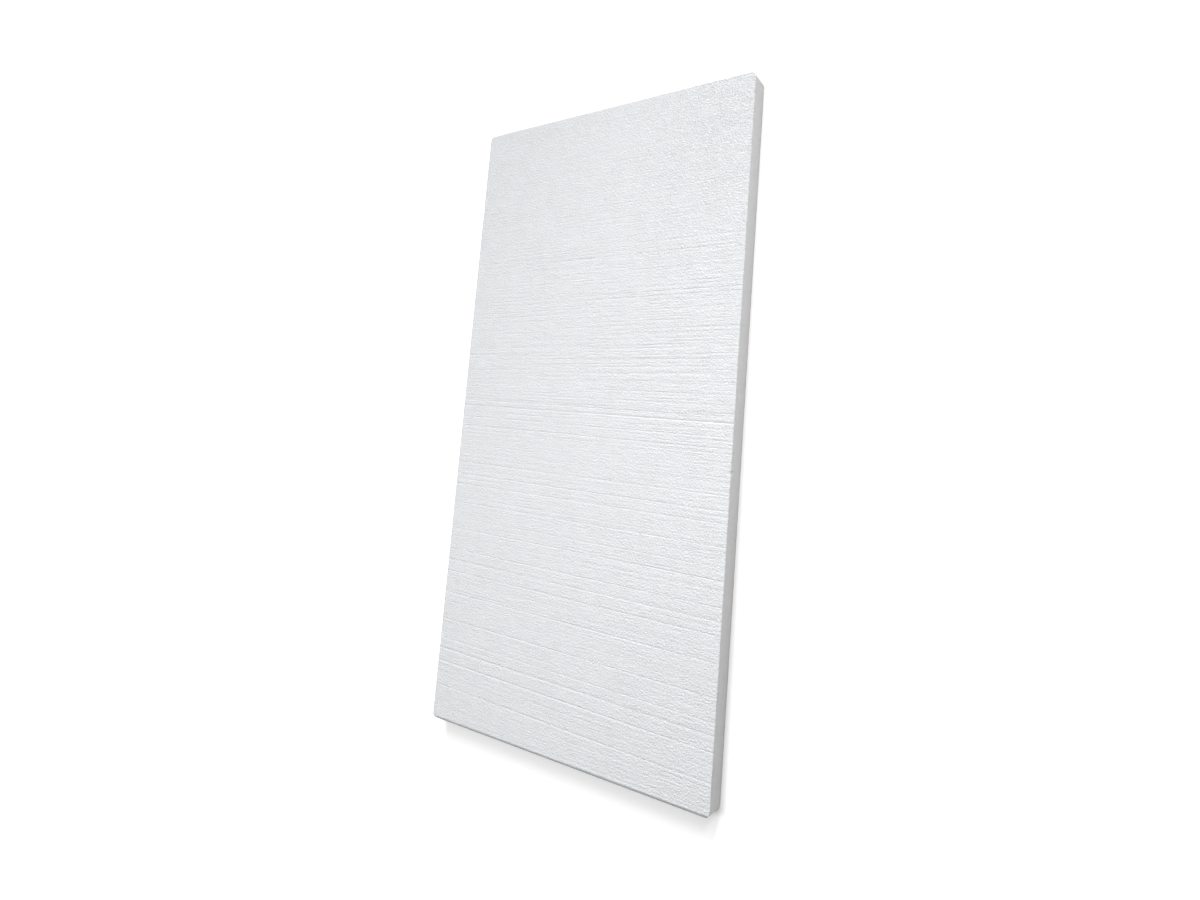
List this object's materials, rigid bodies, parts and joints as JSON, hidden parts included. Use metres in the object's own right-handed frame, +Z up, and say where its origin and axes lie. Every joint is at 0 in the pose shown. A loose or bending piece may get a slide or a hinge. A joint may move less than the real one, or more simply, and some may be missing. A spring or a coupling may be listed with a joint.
{
  "type": "eps foam board",
  "caption": "Flat rectangular sheet of white expanded polystyrene foam for insulation, packing and cutting to shape, with hot-wire marks across its faces.",
  "frame": {"origin": "under the centre of the board, on the level that it lies on", "axes": "+X across the width, +Y along the length towards the head end where the wire enters, +Z up through the thickness"},
  "size_m": [0.6, 1.2, 0.04],
  "materials": {
    "eps_foam": "matt white fused beads with a faint sheen, crossed by fine hot-wire marks"
  },
  "bodies": {
    "root": {"foam_board": "eps_foam"}
  },
  "joints": []
}
